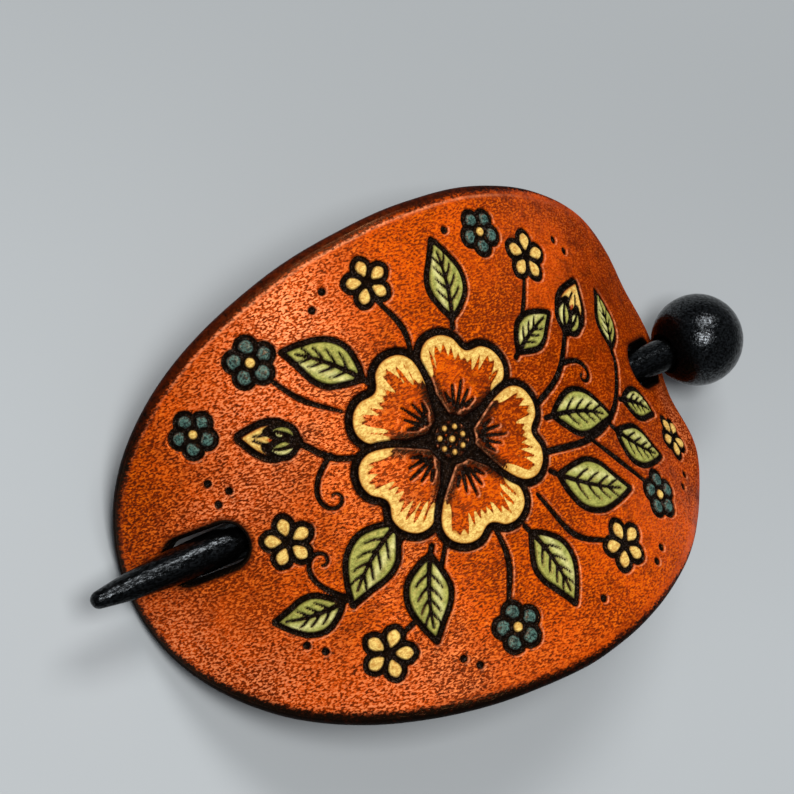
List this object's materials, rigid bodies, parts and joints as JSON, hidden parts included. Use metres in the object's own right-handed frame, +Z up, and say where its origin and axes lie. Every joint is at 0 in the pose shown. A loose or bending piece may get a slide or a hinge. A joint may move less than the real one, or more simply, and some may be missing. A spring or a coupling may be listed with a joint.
{
  "type": "hair barrette with stick",
  "caption": "Oval leather hair barrette bent to an arch, with a slot near each end and a round wooden stick that passes through both slots and ends in a ball.",
  "frame": {"origin": "on the ground under the middle of the whole object, which lies arched over the ground on the two ends of its leather", "axes": "+X along the length, towards the ball; +Y across the leather; +Z up, out of the outer face"},
  "size_m": [0.1148, 0.071, 0.0269],
  "materials": {
    "tooled_leather": "vegetable-tanned, tooled and hand-dyed, antiqued, satin top coat, black burnished edges",
    "black_wood_stick": "black stained, waxed, open grain",
    "black_wood_ball": "black stained, satin varnish"
  },
  "bodies": {
    "plate": {"leather_plate": "tooled_leather"},
    "hair_stick": {"stick": "black_wood_stick", "ball_end": "black_wood_ball"}
  },
  "joints": [
    {"name": "stick_slide", "type": "slide", "parent": "plate", "child": "hair_stick", "axis": [0.9991, -0.0419, -0.0087], "range_m": [0, 0.104]}
  ]
}
